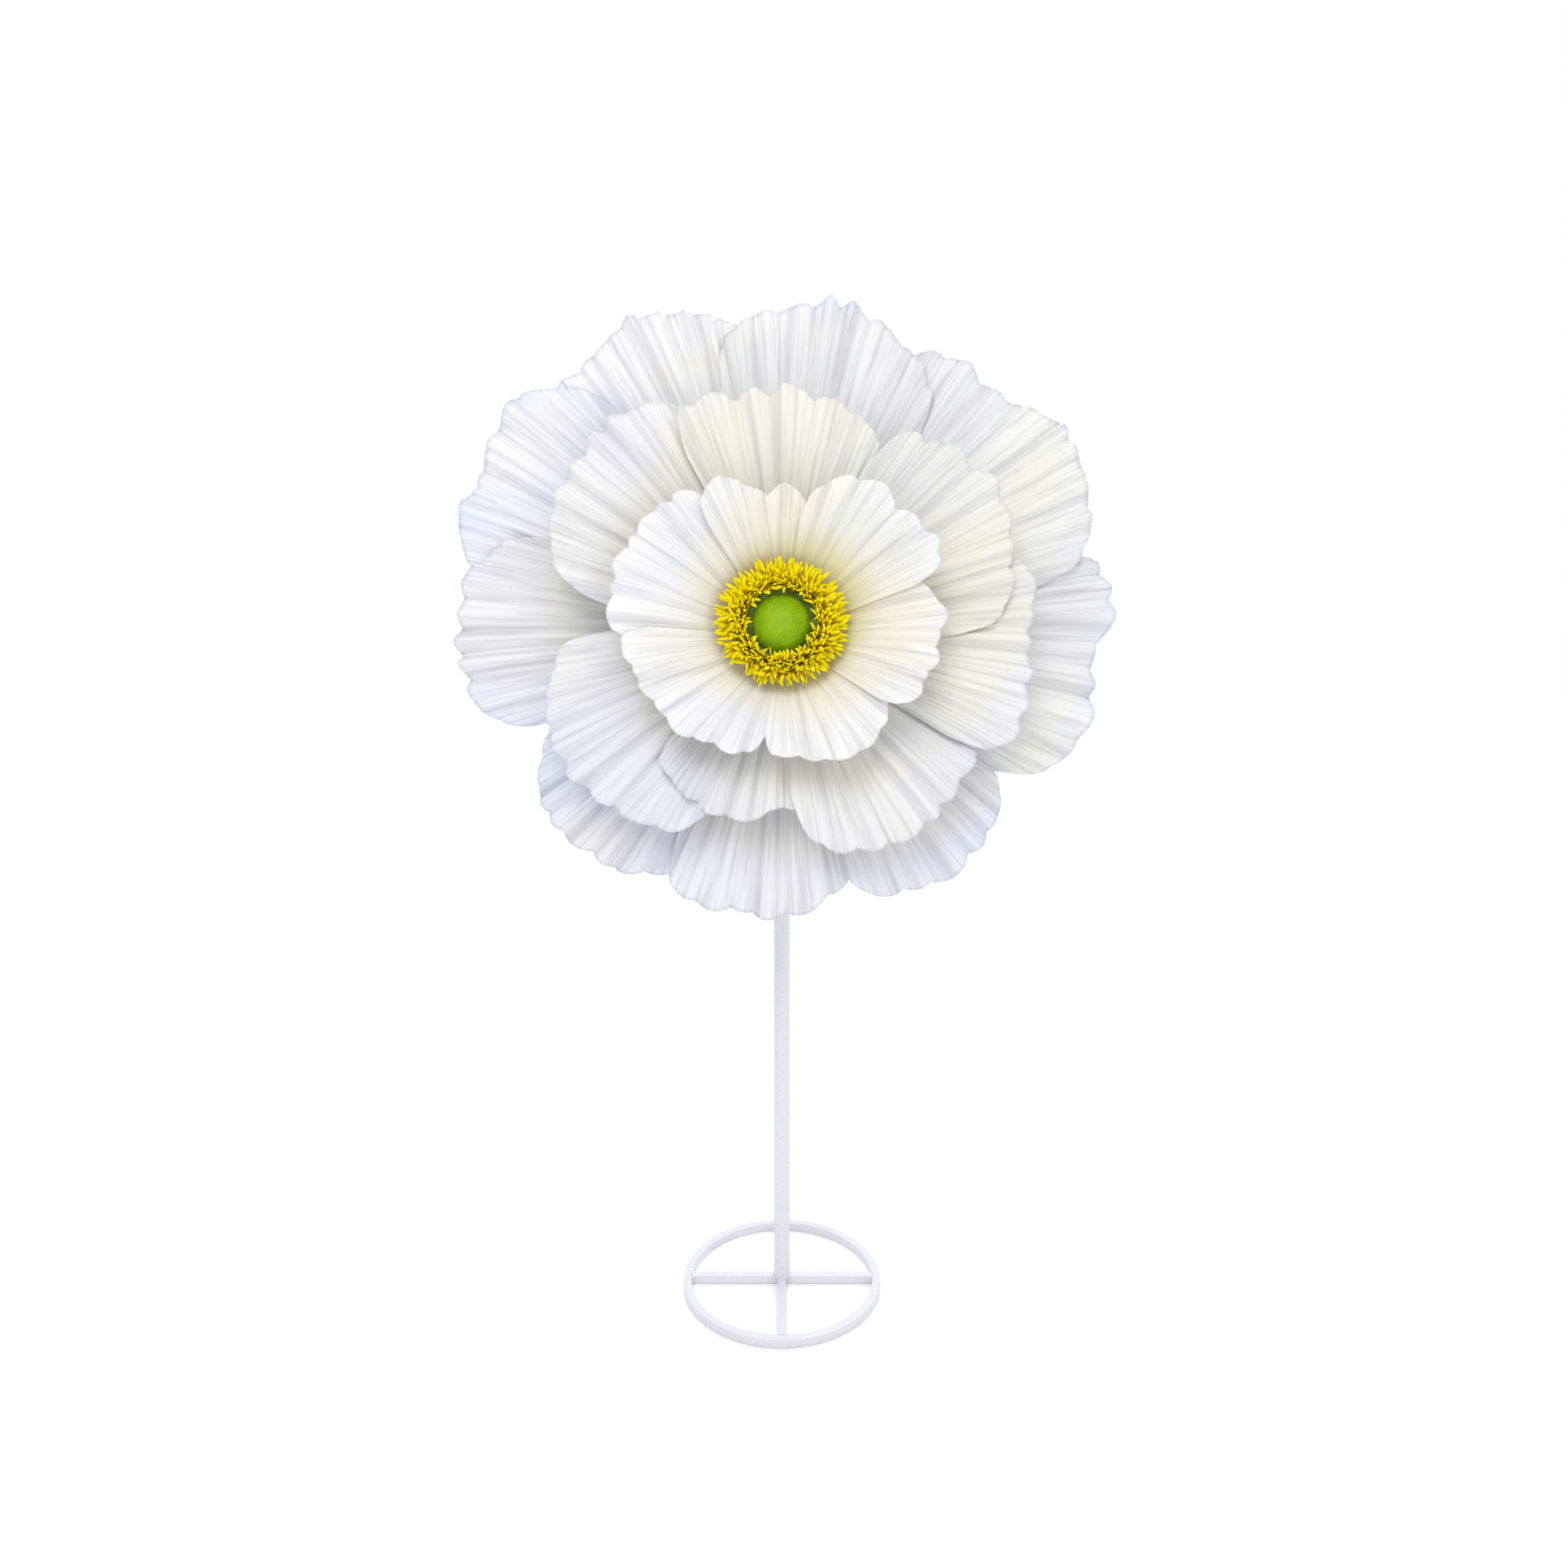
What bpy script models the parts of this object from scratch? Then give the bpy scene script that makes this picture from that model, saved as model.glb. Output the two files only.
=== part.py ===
"""Giant paper flower: a layered paper bloom on a floor stand of bar and tube.

The stand is a square-bar ring with a cross inside it and one tube pole, bent forward at the top to a
welded flange. The head hangs on that flange: a plywood disc, three layers of overlapping paper petals
with card discs between them, and a centre of fringed paper rows round a green pod.
Metres, +Z up. The origin is on the floor under the middle of the cross, and the bloom faces -Y.
"""

import math

import bmesh
import bpy
import numpy as np
from mathutils import Matrix, Vector

GAP = 0.0003  # clearance kept between pieces that touch

# Base
BAR = 0.010  # side of the square bar
RING_OUTER_R = 0.120
RING_STEPS = 72

# Pole
POLE_R = 0.0095
POLE_WALL = 0.0015
POLE_SIDES = 24
BEND_R = 0.045
BEND_STEPS = 8

# Head frame: its origin is the middle of the outer petal layer, on the bloom's axis
HEAD_TILT = math.radians(10)  # the bloom looks this far above the horizontal
HEAD_ORIGIN = Vector((0.0, -0.075, 0.784))

# Head carrier, as heights along the bloom's axis
PLY_R, PLY_THICK = 0.065, 0.009
FLANGE_R, FLANGE_THICK = 0.035, 0.003
SCREW_CIRCLE_R, SCREW_COUNT = 0.025, 4
SCREW_R, SCREW_LENGTH, SCREW_CLEARANCE = 0.002, 0.010, 0.0003
SCREW_HEAD_R, SCREW_HEAD_THICK = 0.0042, 0.0024
DISC_SIDES = 48

# Petals
PAPER = 0.001  # thickness of the stiffened paper
PETAL_ROOT_R = 0.020
PETAL_STEPS_ACROSS, PETAL_STEPS_ALONG = 12, 8
LAP_AT_ROOT, LAP_AT_RIM = 0.0020, 0.0065  # how far an edge lies over or under its neighbour
CARD_R = 0.044
OVER, UNDER = 1, -1

# Each layer: height at the root, radius where it starts to rise, radius of its rim, rise, and how
# far through a sine wave the rise runs: a quarter wave (pi / 2) ends level, and more rolls back.
LAYERS = {
    "outer": (0.000, 0.045, 0.340, 0.030, 1.90),
    "middle": (0.014, 0.045, 0.260, 0.062, 1.50),
    "inner": (0.028, 0.055, 0.170, 0.080, 1.25),
}

# Each petal: middle angle and half width in degrees, anticlockwise from +X as the viewer sees it,
# length in metres, and how its clockwise and anticlockwise edges lie against the neighbours.
PETALS = {
    "outer": [
        (-10.5, 27.5, 0.343, OVER, UNDER),
        (38.0, 30.0, 0.362, OVER, UNDER),
        (78.5, 26.0, 0.352, OVER, OVER),
        (116.0, 23.0, 0.362, UNDER, UNDER),
        (152.0, 25.5, 0.366, OVER, UNDER),
        (181.0, 23.5, 0.335, OVER, OVER),
        (226.0, 25.0, 0.309, UNDER, UNDER),
        (265.5, 23.0, 0.301, OVER, UNDER),
        (305.0, 24.0, 0.315, OVER, UNDER),
    ],
    "middle": [
        (-9.0, 27.0, 0.257, OVER, UNDER),
        (28.0, 34.0, 0.250, OVER, OVER),
        (89.0, 31.0, 0.237, UNDER, OVER),
        (143.5, 31.5, 0.264, UNDER, OVER),
        (217.5, 34.5, 0.259, UNDER, UNDER),
        (252.5, 27.5, 0.204, OVER, UNDER),
        (303.0, 31.0, 0.249, OVER, UNDER),
    ],
    "inner": [
        (-12.5, 28.5, 0.165, OVER, UNDER),
        (46.0, 34.0, 0.162, OVER, OVER),
        (101.0, 27.5, 0.146, UNDER, OVER),
        (155.5, 36.0, 0.169, UNDER, UNDER),
        (225.0, 40.0, 0.156, OVER, UNDER),
        (294.0, 32.0, 0.159, OVER, UNDER),
    ],
}
SHOULDER_DROP, SHOULDER_POWER = 0.30, 4  # how a petal's outline falls away to its two corners

# Centre
CORE_R, CORE_THICK = 0.0395, 0.012
POD_R, POD_HEIGHT = 0.0295, 0.023
COLLAR_R, COLLAR_LOBE, COLLAR_THICK, COLLAR_LOBES = 0.0355, 0.0025, 0.0018, 12
# Each fringe: root radius, lower and upper radius of its saw-tooth rim, their heights above the core's
# foot, and its number of teeth.
FRINGES = {
    "fringe_inner": (0.0405, 0.0337, 0.0300, 0.0300, 0.0400, 24),
    "fringe_middle": (0.0435, 0.0470, 0.0500, 0.0240, 0.0370, 30),
    "fringe_outer": (0.0465, 0.0590, 0.0690, 0.0170, 0.0220, 36),
}
FRINGE_THICK = 0.0012

WHITE_STEEL = ("white_steel", (0.83, 0.85, 0.88), 0.35, 0.0)
BARE_STEEL = ("bare_steel", (0.55, 0.55, 0.56), 0.35, 1.0)
PLYWOOD = ("plywood", (0.72, 0.56, 0.36), 0.75, 0.0)
CARD = ("card", (0.80, 0.74, 0.62), 0.85, 0.0)
PETAL_PAPER = ("petal_paper", (0.93, 0.92, 0.89), 0.60, 0.0)
FRINGE_PAPER = ("fringe_paper", (0.95, 0.78, 0.02), 0.65, 0.0)
POD_GREEN = ("pod_green", (0.36, 0.55, 0.04), 0.70, 0.0)
COLLAR_GREEN = ("collar_green", (0.24, 0.38, 0.16), 0.75, 0.0)


def clear_scene():
    """Removes every object of the scene."""
    for obj in list(bpy.data.objects):
        bpy.data.objects.remove(obj, do_unlink=True)


def material(finish):
    """The Principled material of a finish: (name, colour, roughness, metallic)."""
    name, colour, roughness, metallic = finish
    found = bpy.data.materials.get(name)
    if found:
        return found
    made = bpy.data.materials.new(name)
    made.use_nodes = True
    shader = made.node_tree.nodes["Principled BSDF"]
    shader.inputs["Base Color"].default_value = (*colour, 1.0)
    shader.inputs["Roughness"].default_value = roughness
    shader.inputs["Metallic"].default_value = metallic
    made.diffuse_color = (*colour, 1.0)
    return made


def add_object(name, mesh, finish, parent=None):
    """Links an object of this mesh, with its finish and its parent."""
    mesh.materials.append(material(finish))
    obj = bpy.data.objects.new(name, mesh)
    bpy.context.scene.collection.objects.link(obj)
    obj.parent = parent
    return obj


def mesh_of(bm, name, smooth_below=35):
    """The finished mesh of bm, shaded smooth but for edges sharper than smooth_below degrees."""
    bmesh.ops.recalc_face_normals(bm, faces=bm.faces)
    mesh = bpy.data.meshes.new(name)
    bm.to_mesh(mesh)
    bm.free()
    mesh.shade_smooth()
    mesh.set_sharp_from_angle(angle=math.radians(smooth_below))
    return mesh


def head_frame():
    """An empty whose Z is the bloom's axis, whose X is the viewer's right and whose Y runs up the bloom."""
    empty = bpy.data.objects.new("head_frame", None)
    bpy.context.scene.collection.objects.link(empty)
    turn = Matrix.Rotation(math.pi / 2 - HEAD_TILT, 4, "X")
    empty.matrix_world = Matrix.Translation(HEAD_ORIGIN) @ turn
    return empty


def turned(name, profile, steps, finish, parent=None):
    """A solid of revolution about Z of a closed profile of (radius, height) points."""
    bm = bmesh.new()
    points = [bm.verts.new((r, 0, z)) for r, z in profile]
    edges = [bm.edges.new((a, b)) for a, b in zip(points, points[1:])]
    if profile[0][0] > 0:
        edges.append(bm.edges.new((points[-1], points[0])))
    bmesh.ops.spin(bm, geom=points + edges, cent=(0, 0, 0), axis=(0, 0, 1),
                   angle=2 * math.pi, steps=steps, use_merge=True)
    bmesh.ops.remove_doubles(bm, verts=bm.verts, dist=1e-6)
    return add_object(name, mesh_of(bm, name), finish, parent)


def disc(name, radius, low, high, finish, parent, steps=DISC_SIDES):
    """A flat round disc about Z between two heights."""
    profile = [(0, low), (radius, low), (radius, high), (0, high)]
    return turned(name, profile, steps, finish, parent)


def block(name, low, high, finish):
    """A square bar between two opposite corners."""
    bm = bmesh.new()
    bmesh.ops.create_cube(bm, size=1)
    size = Vector(high) - Vector(low)
    middle = (Vector(high) + Vector(low)) / 2
    bmesh.ops.scale(bm, vec=size, verts=bm.verts)
    bmesh.ops.translate(bm, vec=middle, verts=bm.verts)
    return add_object(name, mesh_of(bm, name), finish)


def make_base():
    """The ring, one bar right across it and two half bars that butt against that bar."""
    inner = RING_OUTER_R - BAR
    square = [(inner, 0), (RING_OUTER_R, 0), (RING_OUTER_R, BAR), (inner, BAR)]
    turned("base_ring", square, RING_STEPS, WHITE_STEEL)
    half = BAR / 2
    reach = math.sqrt(inner**2 - half**2) - GAP - inner * (1 - math.cos(math.pi / RING_STEPS))
    block("base_bar_cross", (-reach, -half, 0), (reach, half, BAR), WHITE_STEEL)
    block("base_bar_front", (-half, -reach, 0), (half, -half - GAP, BAR), WHITE_STEEL)
    block("base_bar_back", (-half, half + GAP, 0), (half, reach, BAR), WHITE_STEEL)


def pole_path(end):
    """Centre points and directions of the pole: straight up, a forward bend, and a run out to end."""
    bend = math.pi / 2 - HEAD_TILT
    run = (-end.y - BEND_R * (1 - math.cos(bend))) / math.sin(bend)
    bend_z = end.z - BEND_R * math.sin(bend) - run * math.cos(bend)
    stations = [(Vector((0, 0, BAR + GAP)), Vector((0, 0, 1)))]
    for step in range(BEND_STEPS + 1):
        angle = bend * step / BEND_STEPS
        along = Vector((0, -math.sin(angle), math.cos(angle)))
        place = Vector((0, -BEND_R * (1 - math.cos(angle)), bend_z + BEND_R * math.sin(angle)))
        stations.append((place, along))
    stations.append((end, stations[-1][1]))
    return stations


def make_pole(end):
    """The bent tube: an outer and an inner skin along one path, joined by a ring at each end."""
    bm = bmesh.new()
    skins = []
    for radius in (POLE_R, POLE_R - POLE_WALL):
        rings = []
        for place, along in pole_path(end):
            across = Vector((1, 0, 0))
            other = along.cross(across)
            turns = [2 * math.pi * k / POLE_SIDES for k in range(POLE_SIDES)]
            rings.append([bm.verts.new(place + radius * (math.cos(t) * across + math.sin(t) * other))
                          for t in turns])
        skins.append(rings)
    outer, inner = skins
    seams = list(zip(outer, outer[1:])) + list(zip(inner, inner[1:]))
    seams += [(outer[0], inner[0]), (outer[-1], inner[-1])]
    for first, second in seams:
        for k in range(POLE_SIDES):
            after = (k + 1) % POLE_SIDES
            bm.faces.new((first[k], first[after], second[after], second[k]))
    add_object("pole", mesh_of(bm, "pole"), WHITE_STEEL)


def drill(obj, name, radius, low, high, parent):
    """Cuts a round hole through obj at each screw's place."""
    for index in range(SCREW_COUNT):
        cutter = disc(f"cutter_{name}_{index}", radius, low, high, BARE_STEEL, parent, 16)
        cutter.location = screw_place(index)
        cutter.hide_render = True
        cutter.display_type = "WIRE"
        cut = obj.modifiers.new(f"hole_{index}", "BOOLEAN")
        cut.operation = "DIFFERENCE"
        cut.solver = "EXACT"
        cut.object = cutter


def screw_place(index):
    """Where a screw stands on its circle, halfway between the head's axes."""
    angle = 2 * math.pi * (index + 0.5) / SCREW_COUNT
    return Vector((SCREW_CIRCLE_R * math.cos(angle), SCREW_CIRCLE_R * math.sin(angle), 0))


def make_carrier(head):
    """The plywood disc, the steel flange behind it and the screws that join them."""
    ply_front = LAYERS["outer"][0] - LAP_AT_ROOT - PAPER - GAP
    ply_back = ply_front - PLY_THICK
    flange_front = ply_back - GAP
    flange_back = flange_front - FLANGE_THICK
    hole_r = SCREW_R + SCREW_CLEARANCE
    ply = disc("backing_disc", PLY_R, ply_back, ply_front, PLYWOOD, head)
    drill(ply, "ply", hole_r, ply_back - 0.005, ply_front + 0.005, head)
    flange = disc("flange_plate", FLANGE_R, flange_back, flange_front, BARE_STEEL, head)
    drill(flange, "flange", hole_r, flange_back - 0.005, flange_front + 0.005, head)
    head_front = flange_back - GAP
    screw = [(0, head_front - SCREW_HEAD_THICK), (0.7 * SCREW_HEAD_R, head_front - SCREW_HEAD_THICK),
             (SCREW_HEAD_R, head_front - 0.5 * SCREW_HEAD_THICK), (SCREW_HEAD_R, head_front),
             (SCREW_R, head_front), (SCREW_R, head_front + SCREW_LENGTH),
             (0, head_front + SCREW_LENGTH + SCREW_R)]
    for index in range(SCREW_COUNT):
        turned(f"flange_screw_{index + 1}", screw, 16, BARE_STEEL, head).location = screw_place(index)
    return flange_back - GAP


def layer_height(layer, radius):
    """Height of a petal layer over its root plane: level to where it starts, then part of a sine."""
    root, start, rim, rise, wave = LAYERS[layer]
    share = np.clip((radius - start) / (rim - start), 0, None)
    return root + rise * np.sin(share * wave) / math.sin(min(wave, math.pi / 2))


def petal_points(layer, middle, half_width, length, clockwise, anticlockwise):
    """Grid of points of one petal: a fan about the bloom's axis whose outline drops at its corners.

    Across the fan the height slides from one edge's lap to the other's, so that each edge clears
    its neighbour, and the lap grows from where the petal starts to rise out to its rim.
    """
    start = LAYERS[layer][1]
    across = np.linspace(-1, 1, PETAL_STEPS_ACROSS + 1)[:, None]
    along = np.linspace(0, 1, PETAL_STEPS_ALONG)[None, :]
    reach = length * (1 - SHOULDER_DROP * np.abs(across) ** SHOULDER_POWER)
    rising = start + (reach - start) * along
    radius = np.concatenate([np.full_like(across, PETAL_ROOT_R), rising], axis=1)
    angle = np.radians(middle + half_width * across) + 0 * radius
    share = np.clip((radius - start) / (length - start), 0, None)
    lap = LAP_AT_ROOT + (LAP_AT_RIM - LAP_AT_ROOT) * share
    slide = (clockwise + anticlockwise) / 2 + (anticlockwise - clockwise) / 2 * across
    height = layer_height(layer, radius) + lap * slide
    return np.stack([radius * np.cos(angle), radius * np.sin(angle), height], axis=-1)


def make_petal(name, points, parent):
    """One sheet through a grid of points, thickened to both sides."""
    bm = bmesh.new()
    rows = [[bm.verts.new(point) for point in row] for row in points]
    for row, after in zip(rows, rows[1:]):
        for k in range(len(row) - 1):
            bm.faces.new((row[k], after[k], after[k + 1], row[k + 1]))
    mesh = mesh_of(bm, name, smooth_below=60)
    petal = add_object(name, mesh, PETAL_PAPER, parent)
    sheet = petal.modifiers.new("paper", "SOLIDIFY")
    sheet.thickness = PAPER
    sheet.offset = 0


def make_petals(head):
    """All three layers, each petal in a node of its own."""
    for layer, petals in PETALS.items():
        for index, (middle, half_width, length, clockwise, anticlockwise) in enumerate(petals):
            points = petal_points(layer, middle, half_width, length, clockwise, anticlockwise)
            make_petal(f"petal_{layer}_{index + 1}", points, head)


def make_card_discs(head):
    """The card discs that hold the petal layers apart."""
    clear = LAP_AT_ROOT + PAPER + GAP
    for name, below, above in (("card_disc_back", "outer", "middle"), ("card_disc_front", "middle", "inner")):
        disc(name, CARD_R, LAYERS[below][0] + clear, LAYERS[above][0] - clear, CARD, head)


def make_fringe(name, foot, shape, parent):
    """A paper strip rolled into a ring: a plain band at the foot and a saw-tooth rim that leans."""
    root_r, low_r, high_r, low_z, high_z, teeth = shape
    steps = 2 * teeth
    bm = bmesh.new()
    stations = []
    for step in range(steps):
        angle = 2 * math.pi * step / steps
        rim_r, rim_z = (high_r, high_z) if step % 2 else (low_r, low_z)
        wall = [(root_r, 0), (root_r, CORE_THICK), (rim_r, rim_z),
                (rim_r + FRINGE_THICK, rim_z), (root_r + FRINGE_THICK, CORE_THICK),
                (root_r + FRINGE_THICK, 0)]
        stations.append([bm.verts.new((r * math.cos(angle), r * math.sin(angle), foot + z))
                         for r, z in wall])
    for step, wall in enumerate(stations):
        after = stations[(step + 1) % steps]
        for k in range(len(wall)):
            following = (k + 1) % len(wall)
            bm.faces.new((wall[k], wall[following], after[following], after[k]))
    add_object(name, mesh_of(bm, name, smooth_below=25), FRINGE_PAPER, parent)


def make_collar(low, parent):
    """The lobed paper disc under the pod: its edge swells and dips once for each lobe."""
    bm = bmesh.new()
    steps = COLLAR_LOBES * 8
    turns = [2 * math.pi * k / steps for k in range(steps)]
    outline = [(COLLAR_R + COLLAR_LOBE * (2 * abs(math.cos(COLLAR_LOBES * t / 2)) - 1), t) for t in turns]
    edge = [bm.verts.new((r * math.cos(t), r * math.sin(t), low)) for r, t in outline]
    face = bm.faces.new(edge)
    raised = bmesh.ops.extrude_face_region(bm, geom=[face])["geom"]
    top = [item for item in raised if isinstance(item, bmesh.types.BMVert)]
    bmesh.ops.translate(bm, vec=(0, 0, COLLAR_THICK), verts=top)
    add_object("pod_collar", mesh_of(bm, "pod_collar"), COLLAR_GREEN, parent)


def make_pod(low, parent):
    """The pod: a flattened dome with a rounded foot."""
    foot = 0.3 * POD_HEIGHT
    profile = [(0, low), (0.86 * POD_R, low)]
    for step in range(-4, 9):
        angle = math.pi / 2 * step / 8
        drop = foot if step < 0 else POD_HEIGHT - foot
        profile.append((POD_R * math.cos(angle), low + foot + drop * math.sin(angle)))
    profile[-1] = (0, low + POD_HEIGHT)
    turned("pod", profile, 36, POD_GREEN, parent)


def make_centre(head):
    """The core, the fringed rows wound on it, and the collar and pod on its face."""
    foot = LAYERS["inner"][0] + LAP_AT_ROOT + PAPER + GAP
    disc("centre_core", CORE_R, foot, foot + CORE_THICK, CARD, head)
    for name, shape in FRINGES.items():
        make_fringe(name, foot, shape, head)
    collar_low = foot + CORE_THICK + GAP
    make_collar(collar_low, head)
    make_pod(collar_low + COLLAR_THICK + GAP, head)


def main():
    clear_scene()
    make_base()
    head = head_frame()
    pole_end = make_carrier(head)
    make_pole(head.matrix_world @ Vector((0, 0, pole_end)))
    make_petals(head)
    make_card_discs(head)
    make_centre(head)


main()
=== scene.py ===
"""The looks of the giant paper flower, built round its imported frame.

Every new piece is a surface worked out on a grid with numpy. Lengths are metres, +Z is up and the
bloom faces -Y, as in the frame.
"""

import math

import bmesh
import bpy
import numpy as np
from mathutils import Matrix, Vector


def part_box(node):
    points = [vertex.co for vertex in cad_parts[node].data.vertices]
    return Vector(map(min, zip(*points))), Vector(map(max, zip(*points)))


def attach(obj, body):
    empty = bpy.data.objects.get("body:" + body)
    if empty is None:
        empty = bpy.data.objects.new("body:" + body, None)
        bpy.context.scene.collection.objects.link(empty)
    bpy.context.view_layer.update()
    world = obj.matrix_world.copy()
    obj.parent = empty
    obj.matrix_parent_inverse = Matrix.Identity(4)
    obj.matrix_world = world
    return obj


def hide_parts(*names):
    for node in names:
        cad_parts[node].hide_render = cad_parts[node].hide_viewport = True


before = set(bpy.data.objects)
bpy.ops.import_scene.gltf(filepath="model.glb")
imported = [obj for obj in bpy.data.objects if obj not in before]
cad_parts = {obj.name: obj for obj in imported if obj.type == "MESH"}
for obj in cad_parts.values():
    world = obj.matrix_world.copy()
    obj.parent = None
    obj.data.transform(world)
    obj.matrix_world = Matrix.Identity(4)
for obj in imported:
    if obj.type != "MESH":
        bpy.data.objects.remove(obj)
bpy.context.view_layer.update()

# Driving dimensions, the same as the frame's
BAR = 0.010
RING_OUTER_R = 0.120
POLE_R = 0.0095
BEND_R = 0.045
BAR_CORNER = 0.0011
INTO_RING, BUTT_GAP = 0.002, 0.0008  # how far a bar runs into the ring, and stops short of the cross
FLANGE_HALF = 0.0017  # half the flange's thickness and its gap to the tube
HEAD_TILT = math.radians(10)
HEAD_ORIGIN = np.array([0.0, -0.075, 0.784])
PETAL_ROOT_R = 0.020
OVER, UNDER = 1, -1  # a petal's edge lies over its neighbour's, or under it

# The bloom's own axes: the viewer's right, up the bloom, and out along its axis
RIGHT = np.array([1.0, 0.0, 0.0])
UP = np.array([0.0, math.sin(HEAD_TILT), math.cos(HEAD_TILT)])
OUT = np.array([0.0, -math.cos(HEAD_TILT), math.sin(HEAD_TILT)])

# Each layer: height at the root, radius where it starts to rise, radius of its rim, rise, angle of a
# sine wave that the rise runs through, depth of its flutes, and depth of the notches as a share of a
# lobe's width.
LAYERS = {
    "outer": (0.000, 0.045, 0.340, 0.030, 1.90, 0.0028, 0.14),
    "middle": (0.014, 0.045, 0.260, 0.062, 1.50, 0.0026, 0.15),
    "inner": (0.028, 0.055, 0.170, 0.080, 1.25, 0.0020, 0.15),
}

# Each petal: middle angle and half width in degrees, how its clockwise and anticlockwise edges lie,
# and the lobes of its scalloped rim as (angle in degrees, reach in millimetres).
PETALS = {
    "outer": [
        (-10.5, 27.5, OVER, UNDER, [(-34, 262), (-30.5, 282), (-27, 309), (-22, 322), (-16.5, 332),
                                    (-10, 327), (-4.5, 323), (2.5, 345), (7, 344), (11, 336)]),
        (38.0, 30.0, OVER, UNDER, [(11, 292), (16, 322), (20.5, 340), (26, 350), (31, 360), (36, 366),
                                   (41, 353), (47, 337), (55, 342), (60.5, 334), (65, 320)]),
        (78.5, 26.0, OVER, OVER, [(57, 268), (61, 299), (66, 320), (72.5, 339), (77.5, 351),
                                  (81, 352), (86.5, 341), (93, 333), (99, 316)]),
        (116.0, 23.0, UNDER, UNDER, [(95, 310), (99, 328), (103, 342), (107, 353), (111, 361),
                                     (115.5, 371), (120, 362), (125, 353), (130, 351), (135, 340)]),
        (152.0, 25.5, OVER, UNDER, [(130, 338), (136, 357), (141, 370), (147.5, 363), (153, 352),
                                     (158.5, 358), (164, 344), (169, 321)]),
        (181.0, 23.5, OVER, OVER, [(161, 290), (166, 308), (172.5, 331), (177, 332), (182, 335), (187, 331),
                                   (192, 325), (196.5, 304), (200, 266)]),
        (226.0, 25.0, UNDER, UNDER, [(204, 256), (209, 278), (213, 296), (217, 306), (221, 309),
                                     (225.5, 308), (232.5, 303), (236.5, 299), (241, 285), (246, 262)]),
        (265.5, 23.0, OVER, UNDER, [(246, 264), (251.5, 293), (256, 297), (262, 293), (267.5, 299),
                                    (274, 294), (280, 277), (285, 254)]),
        (305.0, 24.0, OVER, UNDER, [(284, 250), (289, 284), (293, 296), (299, 302), (304.5, 309),
                                    (311.5, 303), (317, 296), (321, 282), (325, 262)]),
    ],
    "middle": [
        (-9.0, 27.0, OVER, UNDER, [(-32, 246), (-26, 257), (-20, 255), (-13, 251), (-6, 245), (1, 248),
                                   (8, 254), (14, 238)]),
        (28.0, 34.0, OVER, OVER, [(-3, 198), (3, 218), (10, 232), (17, 238), (25, 246), (33, 252),
                                  (43, 244), (54, 229), (60, 214)]),
        (89.0, 31.0, UNDER, OVER, [(62, 210), (69, 222), (77, 229), (88, 234), (97, 234), (108, 237),
                                   (116, 236)]),
        (143.5, 31.5, UNDER, OVER, [(116, 238), (123, 255), (130, 264), (136, 264), (143, 259), (150, 257),
                                    (157, 248), (163, 236), (169, 213)]),
        (217.5, 34.5, UNDER, UNDER, [(187, 200), (192, 228), (198, 243), (204, 251), (210, 258), (217, 260),
                                     (224, 254), (232, 248), (240, 238), (247, 218)]),
        (252.5, 27.5, OVER, UNDER, [(229, 174), (235, 190), (242, 199), (250, 205), (258, 203), (266, 189),
                                    (274, 188)]),
        (303.0, 31.0, OVER, UNDER, [(275, 202), (280, 224), (286, 239), (293, 246), (300, 250), (307, 247),
                                    (314, 243), (321, 238), (329, 224)]),
    ],
    "inner": [
        (-12.5, 28.5, OVER, UNDER, [(-38, 146), (-31, 154), (-24, 152), (-17, 157), (-9, 153), (-1, 159),
                                    (6, 150), (13, 143)]),
        (46.0, 34.0, OVER, OVER, [(16, 160), (25, 164), (34, 158), (51, 157), (62, 148), (71, 132),
                                  (78, 118)]),
        (101.0, 27.5, UNDER, OVER, [(79, 116), (88, 131), (106, 130), (116, 146), (125, 138)]),
        (155.5, 36.0, UNDER, UNDER, [(124, 146), (131, 155), (139, 158), (146, 162), (154, 162), (163, 168),
                                     (171, 166), (180, 167), (189, 161)]),
        (225.0, 40.0, OVER, UNDER, [(188, 158), (195, 156), (202, 152), (209, 153), (219, 150), (228, 153),
                                    (237, 146), (248, 144), (256, 137), (262, 126)]),
        (294.0, 32.0, OVER, UNDER, [(265, 138), (273, 139), (285, 147), (295, 154), (303, 154), (312, 146),
                                    (321, 134)]),
    ],
}
STEPS_ACROSS, STEPS_ALONG = 156, 44
SHEET = 0.0005  # thickness of the petal paper
PETAL_SEED, CENTRE_SEED = 7, 11
RIPPLE_SEEDS = {"outer": 3, "middle": 4, "inner": 5}

# How far a petal's edge stands off the layer's middle height, at the root and at the rim
LAP_AT_ROOT, LAP_AT_RIM = 0.0008, 0.0050

# Waves in a full turn round the bloom
PLEATS = {"outer": 72, "middle": 54, "inner": 50}  # broad pleats
FINE_PLEATS, CREASES, FLARE_WAVES = 3.1, 8.2, 1.3  # as shares of the broad pleats
EDGE_WAVES = 330  # ragged little waves of a cut rim
FOLD_WAVES, SLIP_WAVES = 14, 26  # how the flutes' depth and place waver
SWELL_WAVES, TWIST_WAVES = 10, 17  # slow swell of a whole layer, and wander of its pleats

RAGGED_EDGE = 0.0004
SWELL = 0.004
TWIST = 0.9  # degrees
SIDE_ROUNDING_FROM, SIDE_ROUNDING = 0.80, 0.18
FADE_FROM, FADE_OVER, FADE = 0.45, 0.5, 0.85  # the flutes' fade towards a petal's sides
FLARE_FROM = 0.88  # share of the petal's length

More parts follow.
